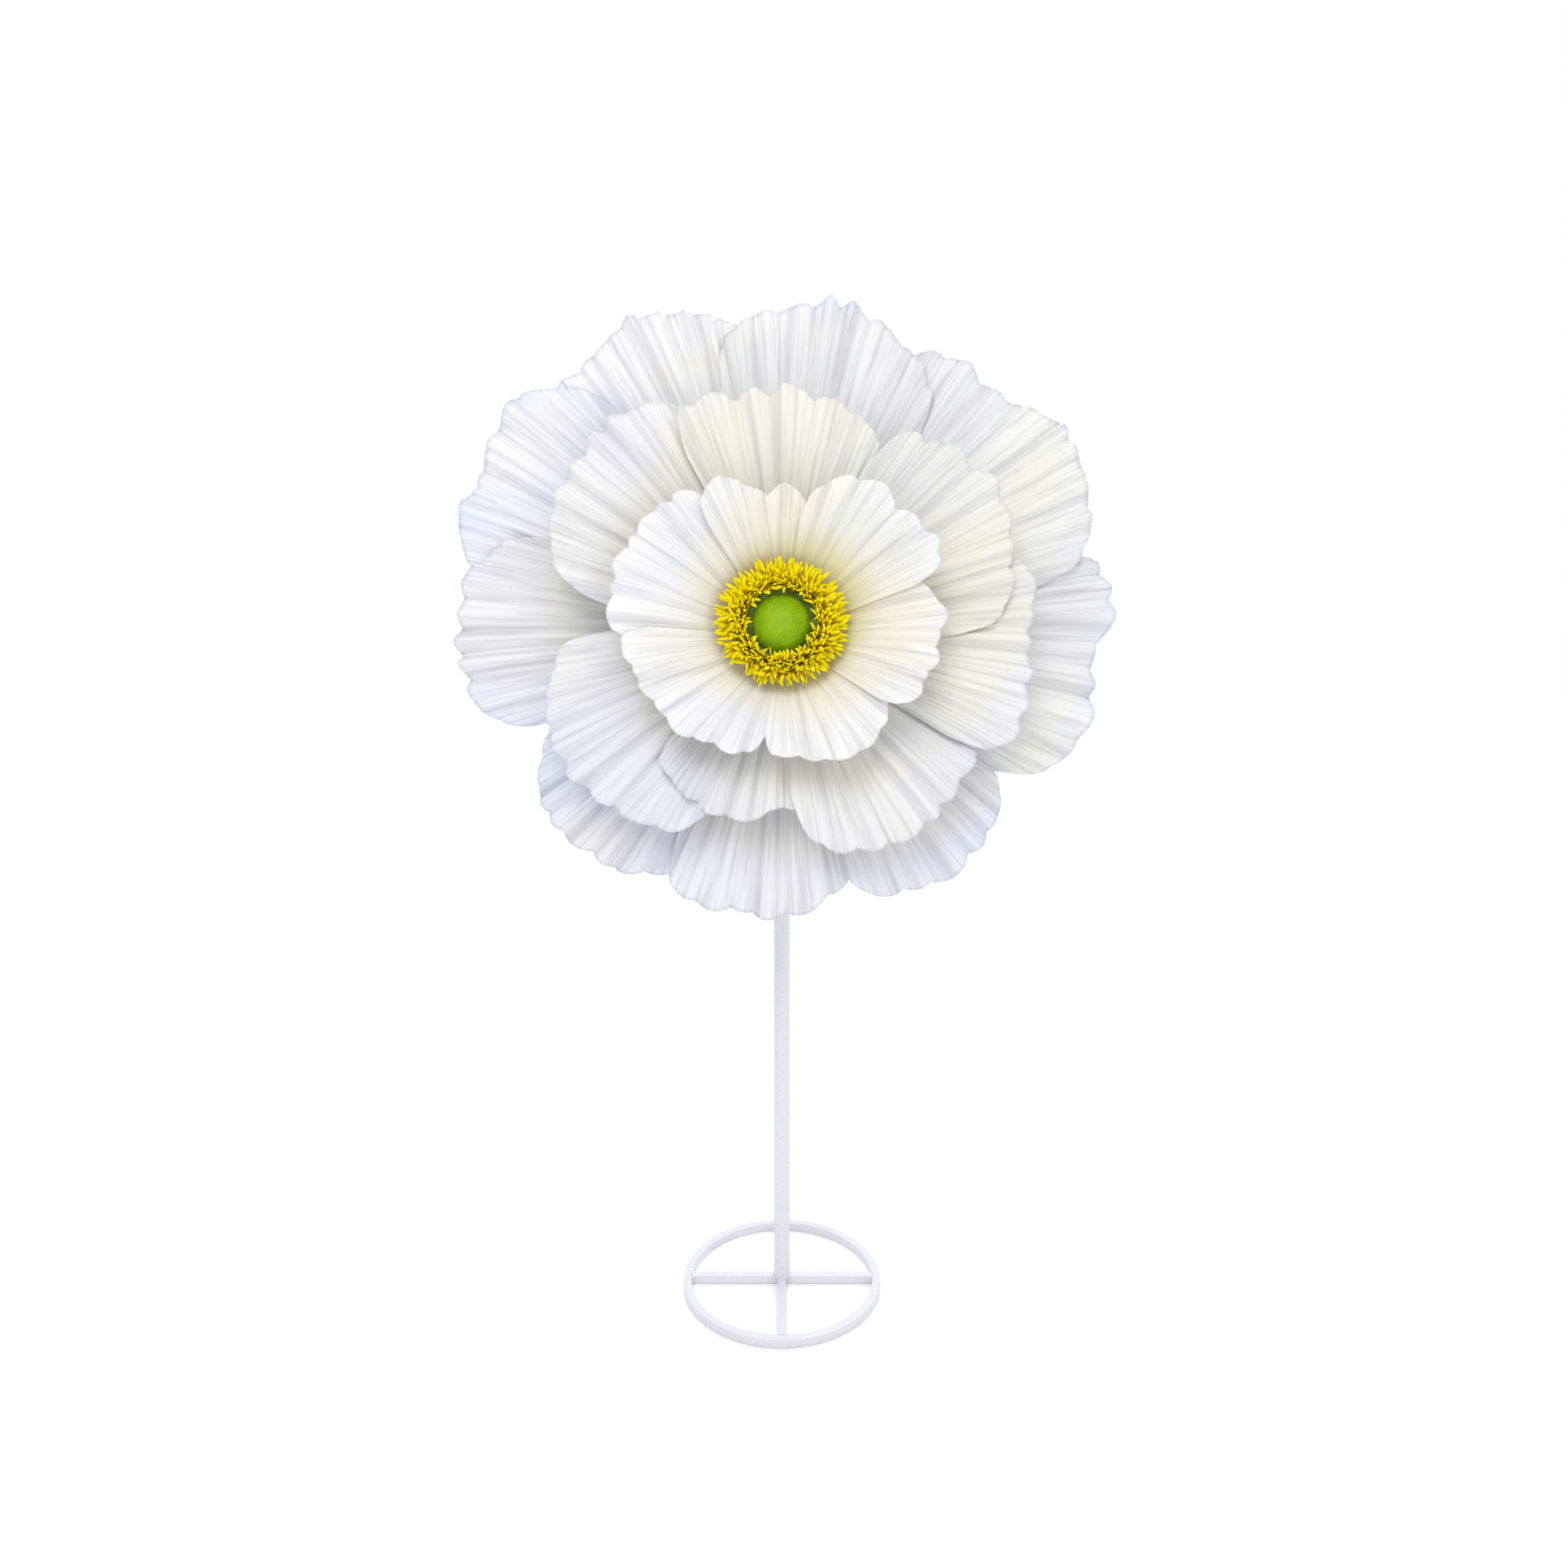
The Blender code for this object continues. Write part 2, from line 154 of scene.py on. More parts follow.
# Colour of the paper
MAP_LENGTH = 0.38  # radius at which the paper map's second coordinate reaches one
# Painted shade: the cream and the warm shade under the next layer reach farther out on the bloom's shaded
# upper right.
SHADE_SIDE = (0.45, 0.0, 0.45)  # which way the painted shade spreads farther, in map lengths a metre
HEART_AT, HEART_ENDS_AT = 0.15, 0.21
SHADE_FADE = 0.07  # map length over which the painted warm shade turns to the rim's colour
# Painted shade: the rim's colour times this is the warm shade of the paper where the next layer covers it.
UNDERLAP_SHADE_TINT = (1.01, 0.99, 0.91)
GLOW = 0.20  # share of light that passes through the paper

CENTRE_FOOT = 0.0313  # where the centre stands, along the bloom's axis
CORE_THICK = 0.012
POD_R, POD_H = 0.0295, 0.023
COLLAR_INNER_R, COLLAR_NOTCH_R, COLLAR_LOBE = 0.024, 0.0338, 0.0050
COLLAR_EDGE, COLLAR_PUFF = 0.0014, 0.0034
PROUD = 0.0004  # gap under the collar

# Fringe: a prong's thread, the strip it is cut from, and how prongs lean
THREAD_HALF, THREAD_FLAT = 0.00035, 0.00030
STRIP_INSET, STRIP_THICK = 0.0006, 0.0004
RISE_ANGLE = 0.95 * math.pi / 2
LEAN_UP, INNER_TIP_R, LEAN_ASIDE = 0.09, 0.034, 0.0014


# ---------------------------------------------------------------- meshes

def grid_faces(rows, columns, loop_rows=False, loop_columns=False):
    """Quads between neighbouring points of a grid, with either direction closed on request."""
    i = np.arange(rows if loop_rows else rows - 1)[:, None]
    j = np.arange(columns if loop_columns else columns - 1)[None, :]
    after_i, after_j = (i + 1) % rows, (j + 1) % columns
    corners = [i * columns + j, after_i * columns + j, after_i * columns + after_j, i * columns + after_j]
    return np.stack(np.broadcast_arrays(*corners), axis=-1).reshape(-1, 4)


def add_mesh(name, points, faces, uv=None, closed=True):
    """An object of these points (n, 3) and faces, with a UV pair for each point if it has a pattern.

    The faces of closed bodies are turned to point outwards.
    """
    mesh = bpy.data.meshes.new(name)
    mesh.from_pydata(points.reshape(-1, 3).tolist(), [], [list(map(int, f)) for f in faces])
    if closed:
        bodies = bmesh.new()
        bodies.from_mesh(mesh)
        bmesh.ops.recalc_face_normals(bodies, faces=bodies.faces)
        bodies.to_mesh(mesh)
        bodies.free()
    if uv is not None:
        corner = np.empty(len(mesh.loops), np.int32)
        mesh.loops.foreach_get("vertex_index", corner)
        layer = mesh.uv_layers.new(name="paper")
        layer.data.foreach_set("uv", uv.reshape(-1, 2)[corner].astype(np.float32).ravel())
    mesh.polygons.foreach_set("use_smooth", np.full(len(mesh.polygons), True))
    mesh.update()
    obj = bpy.data.objects.new(name, mesh)
    bpy.context.scene.collection.objects.link(obj)
    return obj


def in_head(across, up, out):
    """Points of the frame from coordinates on the bloom's own axes: its centre plus each times its axis."""
    return HEAD_ORIGIN + across[..., None] * RIGHT + up[..., None] * UP + out[..., None] * OUT


def finish_piece(obj, surface, slot, *nodes):
    """Gives a piece its material and its body, and hides the CAD nodes that it stands for. Its slot is not
    used.
    """
    obj.data.materials.append(surface)
    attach(obj, "root")
    if nodes:
        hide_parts(*nodes)
    return obj


# ---------------------------------------------------------------- materials

class Nodes:
    """A material's nodes, added and joined in few words."""

    def __init__(self, name):
        self.material = bpy.data.materials.new(name)
        self.material.use_nodes = True
        self.tree = self.material.node_tree
        self.shader = self.tree.nodes["Principled BSDF"]
        self.output = self.tree.nodes["Material Output"]

    def add(self, kind, inputs=(), **settings):
        node = self.tree.nodes.new(kind)
        for key, value in settings.items():
            setattr(node, key, value)
        for key, value in dict(inputs).items():
            if isinstance(value, bpy.types.NodeSocket):
                self.tree.links.new(value, node.inputs[key])
            else:
                node.inputs[key].default_value = value
        return node

    def join(self, socket, target):
        self.tree.links.new(socket, target)

    def ramp(self, factor, *stops):
        """A colour ramp of (place, colour) stops."""
        node = self.add("ShaderNodeValToRGB", {"Fac": factor})
        elements = node.color_ramp.elements
        while len(elements) < len(stops):
            elements.new(0.5)
        for element, (place, colour) in zip(elements, stops):
            element.position = place
            element.color = (*colour, 1.0)
        return node.outputs["Color"]

    def mixed(self, factor, first, second, blend="MIX"):
        """Two colours mixed."""
        node = self.add("ShaderNodeMix", data_type="RGBA", blend_type=blend)
        for index, value in ((0, factor), (6, first), (7, second)):
            if isinstance(value, bpy.types.NodeSocket):
                self.join(value, node.inputs[index])
            else:
                node.inputs[index].default_value = value if index == 0 else (*value, 1.0)
        return node.outputs[2]

    def streaks(self, place, across, along, detail):
        """Noise squeezed sideways, so that it draws lines along the second coordinate."""
        spread = self.add("ShaderNodeMapping", {"Vector": place, "Scale": (across, along, 1.0)})
        noise = self.add("ShaderNodeTexNoise", {"Vector": spread.outputs["Vector"], "Scale": 1.0,
                                                "Detail": detail, "Roughness": 0.6}, noise_dimensions="2D")
        return noise.outputs["Fac"]

    def bumped(self, height, strength, distance):
        """Feeds a height into the shader's normal."""
        bump = self.add("ShaderNodeBump", {"Height": height, "Strength": strength, "Distance": distance})
        self.join(bump.outputs["Normal"], self.shader.inputs["Normal"])
        return bump.outputs["Normal"]


def petal_paper(name, rim, heart, streaks, shade_ends_at):
    """Satin pleated paper: fine streaks of painted shade from root to rim, cream and a little green at the
    heart.

    The paper map's first coordinate goes round the bloom and its second outwards from its axis, so
    noise that is squeezed along the first draws streaks that fan out with the pleats, as painted shade
    in the fine grooves and along the broad pleats. Farther out the paper is warmer and darker, as
    painted shade where the next layer covers it, and random patches of cool and warm painted shade lie
    over it. The cream and that warm shade reach farther out on the bloom's upper right, as painted
    shade there, and less far on its lower left.
    """
    n = Nodes(name)
    place = n.add("ShaderNodeUVMap", uv_map="paper").outputs["UV"]
    apart = n.add("ShaderNodeSeparateXYZ", {"Vector": place})
    # Painted shade: the paper is warmer and darker where the next layer covers it.
    warm = tuple(share * value for share, value in zip(UNDERLAP_SHADE_TINT, rim))
    fine = n.streaks(place, streaks, 3.0, 5.0)
    broad = n.streaks(place, streaks * 0.22, 1.8, 3.0)
    where = n.add("ShaderNodeTexCoord").outputs["Object"]
    patch = n.add("ShaderNodeTexNoise", {"Vector": where, "Scale": 7.0, "Detail": 1.0})
    # Painted shade: the colour ramp is pulled outwards on the shaded upper right and inwards on the lower
    # left.
    aside = n.add("ShaderNodeVectorMath", {0: where, 1: tuple(HEAD_ORIGIN)}, operation="SUBTRACT")
    shaded_side = n.add("ShaderNodeVectorMath", {0: aside.outputs["Vector"], 1: SHADE_SIDE}, operation="DOT_PRODUCT")
    spread = n.add("ShaderNodeMath", {0: apart.outputs["Y"], 1: shaded_side.outputs["Value"]}, operation="SUBTRACT")
    base = n.ramp(spread.outputs["Value"], (HEART_AT, heart), (HEART_ENDS_AT, warm),
                  (shade_ends_at - SHADE_FADE, warm), (shade_ends_at, rim))
    # Painted shade in the fine grooves: the same noise drives the bump, and the paper is greyer where the
    # bump is low.
    tone = n.ramp(fine, (0.34, (0.87, 0.87, 0.87)), (0.48, (1.0, 1.0, 1.0)))
    # Painted shade: grey stripes that stand in for the shade of the broad pleats.
    band = n.ramp(broad, (0.34, (0.86, 0.86, 0.885)), (0.50, (1.0, 1.0, 1.0)))
    # Painted shade: random patches of cool lavender and warm shade.
    patch_shade = n.ramp(patch.outputs["Fac"], (0.38, (0.935, 0.955, 1.0)), (0.50, (0.99, 0.99, 1.0)),
                  (0.62, (1.0, 0.985, 0.955)))
    colour = n.mixed(1.0, n.mixed(1.0, base, tone, "MULTIPLY"), band, "MULTIPLY")
    colour = n.mixed(1.0, colour, patch_shade, "MULTIPLY")
    n.join(colour, n.shader.inputs["Base Color"])
    n.shader.inputs["Roughness"].default_value = 0.52
    n.shader.inputs["Sheen Weight"].default_value = 0.10
    n.shader.inputs["Sheen Roughness"].default_value = 0.4
    normal = n.bumped(fine, 0.6, 0.0006)
    glow = n.add("ShaderNodeBsdfTranslucent", {"Color": colour, "Normal": normal})
    both = n.add("ShaderNodeMixShader", {0: GLOW, 1: n.shader.outputs["BSDF"], 2: glow.outputs["BSDF"]})
    n.join(both.outputs["Shader"], n.output.inputs["Surface"])
    return n.material


def cut_paper(name, root, body, tip):
    """Cut paper filaments: dark and warm at the root, bright at the tip, with a little mottling."""
    n = Nodes(name)
    place = n.add("ShaderNodeUVMap", uv_map="paper").outputs["UV"]
    apart = n.add("ShaderNodeSeparateXYZ", {"Vector": place})
    where = n.add("ShaderNodeTexCoord").outputs["Object"]
    spots = n.add("ShaderNodeTexNoise", {"Vector": where, "Scale": 260.0, "Detail": 3.0})
    base = n.ramp(apart.outputs["Y"], (0.10, root), (0.55, body), (0.85, tip))
    tone = n.ramp(spots.outputs["Fac"], (0.3, (0.86, 0.82, 0.70)), (0.65, (1.0, 1.0, 1.0)))
    n.join(n.mixed(1.0, base, tone, "MULTIPLY"), n.shader.inputs["Base Color"])
    n.shader.inputs["Roughness"].default_value = 0.55
    n.shader.inputs["Specular IOR Level"].default_value = 0.1
    n.bumped(spots.outputs["Fac"], 0.4, 0.0003)
    return n.material


def pod_skin():
    """The pod's skin: yellow-green, paler on top, with a fine pitted grain."""
    n = Nodes("pod_skin")
    place = n.add("ShaderNodeUVMap", uv_map="paper").outputs["UV"]
    apart = n.add("ShaderNodeSeparateXYZ", {"Vector": place})
    where = n.add("ShaderNodeTexCoord").outputs["Object"]
    pits = n.add("ShaderNodeTexVoronoi", {"Vector": where, "Scale": 330.0})
    cloud = n.add("ShaderNodeTexNoise", {"Vector": where, "Scale": 110.0, "Detail": 4.0})
    base = n.ramp(apart.outputs["Y"], (0.0, (0.30, 0.46, 0.03)), (0.30, (0.25, 0.43, 0.004)),
                  (0.8, (0.18, 0.34, 0.002)), (1.0, (0.08, 0.17, 0.002)))
    grain = n.ramp(pits.outputs["Distance"], (0.0, (0.48, 0.56, 0.30)), (0.35, (1.04, 1.03, 1.0)))
    shade = n.ramp(cloud.outputs["Fac"], (0.35, (0.80, 0.87, 0.70)), (0.7, (1.06, 1.03, 1.0)))
    n.join(n.mixed(1.0, n.mixed(1.0, base, grain, "MULTIPLY"), shade, "MULTIPLY"),
           n.shader.inputs["Base Color"])
    n.shader.inputs["Roughness"].default_value = 0.6
    n.shader.inputs["Specular IOR Level"].default_value = 0.12
    n.bumped(pits.outputs["Distance"], 0.8, 0.0005)
    return n.material


def mottled(name, dark, light, roughness, scale, stretch=(1, 1, 1), bump=0.0002, metallic=0.0):
    """A plain stuff with a mottled colour and a light grain, stretched along one way for wood."""
    n = Nodes(name)
    where = n.add("ShaderNodeTexCoord").outputs["Object"]
    spread = n.add("ShaderNodeMapping", {"Vector": where, "Scale": stretch})
    noise = n.add("ShaderNodeTexNoise", {"Vector": spread.outputs["Vector"], "Scale": scale, "Detail": 6.0})
    n.join(n.ramp(noise.outputs["Fac"], (0.32, dark), (0.68, light)), n.shader.inputs["Base Color"])
    n.shader.inputs["Metallic"].default_value = metallic
    rough = n.add("ShaderNodeMapRange", {"Value": noise.outputs["Fac"], "To Min": roughness - 0.08,
                                         "To Max": roughness + 0.08})
    n.join(rough.outputs["Result"], n.shader.inputs["Roughness"])
    n.bumped(noise.outputs["Fac"], 0.3, bump)
    return n.material


# ---------------------------------------------------------------- petals

def layer_height(layer, radius):
    """Height of a petal layer: level to where it starts, then part of a sine wave out to the rim."""
    root, start, rim, rise, wave = LAYERS[layer][:5]
    share = np.clip((radius - start) / (rim - start), 0, None)
    return root + rise * np.sin(share * wave) / math.sin(min(wave, math.pi / 2))


def lobe_phase(angle, lobes):
    """Counts lobes along the rim: a whole number on each lobe's crest and a half in each notch."""
    crests = np.array([a for a, _ in lobes], float)
    ends = np.concatenate([[2 * crests[0] - crests[1]], crests, [2 * crests[-1] - crests[-2]]])
    return np.interp(angle, ends, np.arange(len(ends)) - 1.0)


def petal_reach(angle, middle, half_width, lobes, notch, rng):
    """The scalloped outline: the farthest of a row of round lobes, one on each crest.

    A lobe falls away with the square of the angle from its crest, by a share of its own width where
    it meets its neighbour, so two lobes cross in a sharp notch. At its sides the petal rounds off.
    """
    crests = np.array([a for a, _ in lobes], float)
    reaches = np.array([r for _, r in lobes], float) / 1000
    width = np.gradient(crests)
    depth = notch * np.radians(width) * reaches * rng.uniform(0.6, 1.4, len(lobes))
    away = 2 * (angle[..., None] - crests) / width
    lobed = (reaches - depth * away**2).max(axis=-1)
    side = np.abs(angle - middle) / half_width
    side = np.clip((side - SIDE_ROUNDING_FROM) / (1 - SIDE_ROUNDING_FROM), 0, 1)
    return lobed * (1 - SIDE_ROUNDING * side**2.5)


def ripple(rng, turns, along, waves, bend=0.5):
    """A smooth uneven wave: three sines of nearly the same number of waves, each with its own start.

    The numbers of waves in a full turn are whole, so the wave closes on itself round the bloom.
    """
    total = 0
    for factor in (0.83, 1.0, 1.31):
        start, slip = rng.uniform(0, 2 * math.pi), rng.uniform(-bend, bend)
        total = total + np.sin(2 * math.pi * round(waves * factor) * turns + start + slip * along)
    return total / 3


def petal_surface(layer, petal, rng):
    """One petal's points and paper map: a fan of pleats that deepen from root to rim.

    Main flutes follow the lobes: the paper stands forward on a crest and back in a notch. Finer
    ripples lie on them, and the last tenth of the petal flares. The ripples belong to the whole
    layer, and the flutes fade towards a petal's sides, so two petals lie on each other where they lap.
    """
    start, rim, flute, notch = (LAYERS[layer][k] for k in (1, 2, 5, 6))
    middle, half_width, clockwise, anticlockwise, lobes = petal
    common = np.random.default_rng(RIPPLE_SEEDS[layer])
    side = np.linspace(-1, 1, STEPS_ACROSS)[:, None]
    along = np.linspace(0, 1, STEPS_ALONG)[None, :] ** 0.92
    angle = middle + half_width * side
    reach = petal_reach(angle, middle, half_width, lobes, notch, rng)
    turns = angle / 360
    reach = reach + RAGGED_EDGE * ripple(rng, turns, 0, EDGE_WAVES)
    radius = PETAL_ROOT_R + (reach - PETAL_ROOT_R) * along
    length = max(r for _, r in lobes) / 1000

    share = np.clip((radius - start) / (length - start), 0, None)
    lap = LAP_AT_ROOT + (LAP_AT_RIM - LAP_AT_ROOT) * share**1.15
    slide = (clockwise + anticlockwise) / 2 + (anticlockwise - clockwise) / 2 * side
    height = layer_height(layer, radius) + lap * slide * (1 - 0.15 * np.abs(side) ** 6)

    depth = np.clip((radius - start) / (length - start), 0, 1)
    phase = lobe_phase(angle, lobes) + 0.06 * ripple(rng, turns, along, SLIP_WAVES)
    fold = np.cos(2 * math.pi * phase) * (1 + 0.5 * ripple(rng, turns, along, FOLD_WAVES))
    fold = fold * (1 - FADE * np.clip((np.abs(side) - FADE_FROM) / FADE_OVER, 0, 1))
    out = radius / rim
    pleats = PLEATS[layer]
    height = height + flute * depth**1.2 * fold
    height = height + 0.9 * flute * depth * ripple(common, turns, out, pleats, 1.2)
    height = height + 0.5 * flute * depth * ripple(common, turns, out, FINE_PLEATS * pleats)
    height = height + 0.2 * flute * np.sqrt(depth) * ripple(common, turns, out, CREASES * pleats)
    flare = np.clip((along - FLARE_FROM) / (1 - FLARE_FROM), 0, 1) ** 2
    height = height + 0.5 * flute * flare * (fold + ripple(common, turns, out, FLARE_WAVES * pleats))
    height = height + SWELL * depth * ripple(common, turns, out, SWELL_WAVES, 2.0)

    turn = np.radians(angle + TWIST * depth * ripple(common, turns, out, TWIST_WAVES, 1.5))
    points = in_head(radius * np.cos(turn), radius * np.sin(turn), height)
    paper = np.stack([np.broadcast_to(side / 2 + 0.5, radius.shape), radius / MAP_LENGTH], axis=-1)
    return points, paper


def make_petals(papers):
    """Every petal as a sheet of its own, thickened to both sides."""
    rng = np.random.default_rng(PETAL_SEED)
    faces = grid_faces(STEPS_ACROSS, STEPS_ALONG)[:, ::-1]
    for layer, petals in PETALS.items():
        for index, petal in enumerate(petals):
            points, paper = petal_surface(layer, petal, rng)
            piece = add_mesh(f"pleated_petal_{layer}_{index + 1}", points, faces, paper, closed=False)
            sheet = piece.modifiers.new("sheet", "SOLIDIFY")
            sheet.thickness = SHEET
            sheet.offset = 0
            finish_piece(piece, papers[layer], "petal_paper", f"petal_{layer}_{index + 1}")


# ---------------------------------------------------------------- centre

def filaments(name, rng, count, root, tip, lean, width, surface, node):
    """A row of forked paper filaments round the bloom's axis, standing on an uncut strip.

    Each prong runs from the root circle to its tip in a quarter-wave curve, thin to begin with and
    swelling to a leaf near the end: its half width is a filament plus a sine hump over the last
    half. Two prongs share a root and part by the fork angle. Long prongs lean a little up the bloom,
    and all lean outwards at its sides. The strip follows the first half of the same curve.
    """
    rings, sides = 9, 6
    strip_rings, strip_steps = 8, 90
    prongs = 2 * count
    each = np.arange(prongs)[:, None, None]
    along = np.linspace(0, 1, rings)[None, :, None]
    turn = 2 * math.pi * np.arange(sides)[None, None, :] / sides

    def jitter(size):
        return rng.normal(0, size, (prongs, 1, 1))

    pair = np.repeat(rng.normal(0, 0.3, (count, 1, 1)), 2, axis=0)
    around = 2 * math.pi * (each // 2 + 0.5 + pair) / count
    fork = np.where(each % 2 == 0, -1, 1) * lean * (1 + jitter(0.35))
    drift = LEAN_UP * (tip[0] - INNER_TIP_R) * np.sin(around) + LEAN_ASIDE * np.cos(around) ** 2
    reach_r = tip[0] + drift + jitter(0.0020) - root[0]
    reach_z = tip[1] + jitter(0.0022) - root[1]
    radius = root[0] + reach_r * (1 - np.cos(along * math.pi / 2))
    out = root[1] + reach_z * np.sin(along * RISE_ANGLE)
    sway = jitter(0.0026) * np.clip((along - 0.55) / 0.45, 0, 1) ** 2
    angle = around + fork * along**1.5 + sway / radius
    hump = np.clip((along - 0.5) / 0.5, 0, 1)
    leaf = width * np.sin(math.pi * hump**0.9)
    point = np.where(along > 0.999, 0.3, 1)  # the last ring closes to a point
    half = (THREAD_HALF + leaf * (1 + jitter(0.15))) * point
    flat = (THREAD_FLAT + 0.35 * leaf) * point

    roll = jitter(0.7)
    wide, thick = half * np.cos(turn), flat * np.sin(turn)
    tangent = wide * np.cos(roll) - thick * np.sin(roll)
    raised = wide * np.sin(roll) + thick * np.cos(roll)
    slope = np.arctan2(reach_z, reach_r)
    radial = radius - raised * np.sin(slope)
    high = CENTRE_FOOT + out + raised * np.cos(slope)
    x = radial * np.cos(angle) - tangent * np.sin(angle)
    y = radial * np.sin(angle) + tangent * np.cos(angle)
    points = in_head(x, y, high)

    one = grid_faces(rings, sides, loop_columns=True)
    caps = [list(range(sides)), list(range(rings * sides - 1, (rings - 1) * sides - 1, -1))]
    step = rings * sides
    quads = (one[None] + step * np.arange(prongs)[:, None, None]).reshape(-1, 4)
    ends = [[v + step * k for v in cap] for k in range(prongs) for cap in caps]
    paper = np.stack(np.broadcast_arrays(turn / (2 * math.pi) + 0 * each, along + 0 * each), axis=-1)
    piece = add_mesh(name, points, quads.tolist() + ends, np.array(paper))
    finish_piece(piece, surface, "fringe_paper", node)

    uncut = np.linspace(0, 0.5, strip_rings)
    strip_r = root[0] + (tip[0] - root[0]) * (1 - np.cos(uncut * math.pi / 2)) - STRIP_INSET
    strip_z = root[1] + (tip[1] - root[1]) * np.sin(uncut * RISE_ANGLE)
    round_r = np.concatenate([strip_r, strip_r[::-1] - STRIP_THICK])
    round_z = np.concatenate([strip_z, strip_z[::-1]])
    circle = 2 * math.pi * np.arange(strip_steps)[:, None] / strip_steps
    band = in_head(round_r * np.cos(circle), round_r * np.sin(circle), CENTRE_FOOT + round_z + 0 * circle)
    share = np.concatenate([uncut, uncut[::-1]])
    shade = np.stack(np.broadcast_arrays(circle / (2 * math.pi), share[None, :]), axis=-1)
    faces = grid_faces(strip_steps, len(round_r), loop_rows=True, loop_columns=True)
    finish_piece(add_mesh(name + "_strip", band, faces, np.array(shade)), surface, "fringe_paper", node)


def make_pod(surface):
    """The pod: a flattened dome whose skin rounds under at the foot.

    Its profile is a sine of radius against a cosine of height, a little past a quarter turn, carried
    round the bloom's axis. Faint ridges run down it: a cosine round the axis times a half sine along
    the profile. A small face closes it at the top and a large one at the foot.
    """
    steps, rings, ridges, ridge = 112, 40, 16, 0.00022
    low = CENTRE_FOOT + CORE_THICK + 0.0024
    arc = np.linspace(0.004, 1.18, rings)[None, :] * math.pi / 2
    turn = 2 * math.pi * np.arange(steps)[:, None] / steps
    radius = POD_R * np.sin(arc)
    out = np.maximum(low + 0.3 * POD_H + 0.7 * POD_H * np.cos(arc), low)
    share = np.linspace(0, 1, rings)[None, :]
    swell = ridge * np.cos(ridges * turn) * np.sin(math.pi * share)
    points = in_head(radius * np.cos(turn), radius * np.sin(turn), out + swell)
    faces = grid_faces(steps, rings, loop_rows=True).tolist()
    faces.append([k * rings for k in range(steps)])
    faces.append([k * rings + rings - 1 for k in range(steps)][::-1])
    paper = np.stack(np.broadcast_arrays(turn / (2 * math.pi), share), axis=-1)
    finish_piece(add_mesh("pod_dome", points, faces, np.array(paper)), surface, "pod_green", "pod")


def make_collar(surface):
    """The collar: a ring of rounded paper lobes round the pod's foot, each puffed up in its middle.

    A lobe's reach and puff follow the size of a cosine round the axis, and the puff is a sine from
    the collar's inner circle to its edge.
    """
    lobes, steps, rings = 12, 288, 12
    turn = 2 * math.pi * np.arange(steps)[:, None] / steps
    share = np.linspace(0, 1, rings)[None, :]
    swell = np.abs(np.cos(lobes * turn / 2))
    outer = COLLAR_NOTCH_R + COLLAR_LOBE * swell
    radius = COLLAR_INNER_R + (outer - COLLAR_INNER_R) * share
    low = CENTRE_FOOT + CORE_THICK + PROUD
    top = low + COLLAR_EDGE + COLLAR_PUFF * np.sin(math.pi * share**1.3) * swell**0.7
    upper = np.stack(np.broadcast_arrays(radius, top), axis=-1)
    lower = np.stack(np.broadcast_arrays(radius, low + 0 * top), axis=-1)[:, ::-1]
    skin = np.concatenate([upper, lower], axis=1)
    points = in_head(skin[..., 0] * np.cos(turn), skin[..., 0] * np.sin(turn), skin[..., 1])
    faces = grid_faces(steps, 2 * rings, loop_rows=True, loop_columns=True)
    finish_piece(add_mesh("collar_lobes", points, faces), surface, "collar_green", "pod_collar")


def make_centre():
    """Fringes, collar and pod.

    Each row of the fringe: its node and name, number of forks, radius and height of its roots and of
    its tips, half the fork's angle, and half a leaf's width.
    """
    rng = np.random.default_rng(CENTRE_SEED)
    yellow = cut_paper("yellow_cut_paper", (0.50, 0.38, 0.006), (0.94, 0.73, 0.002), (0.98, 0.85, 0.004))
    rows = (
        ("fringe_inner", "inner_row", 22, (0.0400, 0.002), (0.0298, 0.0385), 0.085, 0.00150),
        ("fringe_inner", "inner_upright_row", 30, (0.0390, 0.002), (0.0365, 0.0385), 0.065, 0.00155),
        ("fringe_inner", "inner_leaning_row", 38, (0.0400, 0.002), (0.0420, 0.0370), 0.055, 0.00160),
        ("fringe_middle", "middle_upright_row", 40, (0.0437, 0.002), (0.0452, 0.0365), 0.050, 0.00160),
        ("fringe_middle", "middle_row", 44, (0.0440, 0.002), (0.0485, 0.0345), 0.045, 0.00165),
        ("fringe_middle", "middle_leaning_row", 50, (0.0446, 0.002), (0.0545, 0.0305), 0.040, 0.00170),
        ("fringe_outer", "outer_row", 54, (0.0470, 0.002), (0.0605, 0.0260), 0.036, 0.00175),
        ("fringe_outer", "outermost_row", 58, (0.0478, 0.002), (0.0665, 0.0200), 0.034, 0.00180),
    )
    for node, name, count, root, tip, lean, width in rows:
        filaments(name, rng, count, root, tip, lean, width, yellow, node)
    make_collar(mottled("collar_paper", (0.15, 0.29, 0.06), (0.26, 0.43, 0.14), 0.7, 90.0))
    make_pod(pod_skin())


# ---------------------------------------------------------------- stand

def swept(name, places, across, up, section, surface, slot, nodes, closed=False):
    """A section carried along a path: each place plus the section's two coordinates times the two
    directions that go with it. An open path is closed by a face at each end."""
    points = (places[:, None, :] + section[None, :, :1] * across[:, None, :]
              + section[None, :, 1:] * up[:, None, :])
    faces = grid_faces(len(places), len(section), loop_rows=closed, loop_columns=True).tolist()
    if not closed:
        last = (len(places) - 1) * len(section)
        faces.append(list(range(len(section)))[::-1])
        faces.append([last + k for k in range(len(section))])
    piece = add_mesh(name, points, faces)
    piece.data.set_sharp_from_angle(angle=math.radians(50))
    return finish_piece(piece, surface, slot, *nodes)


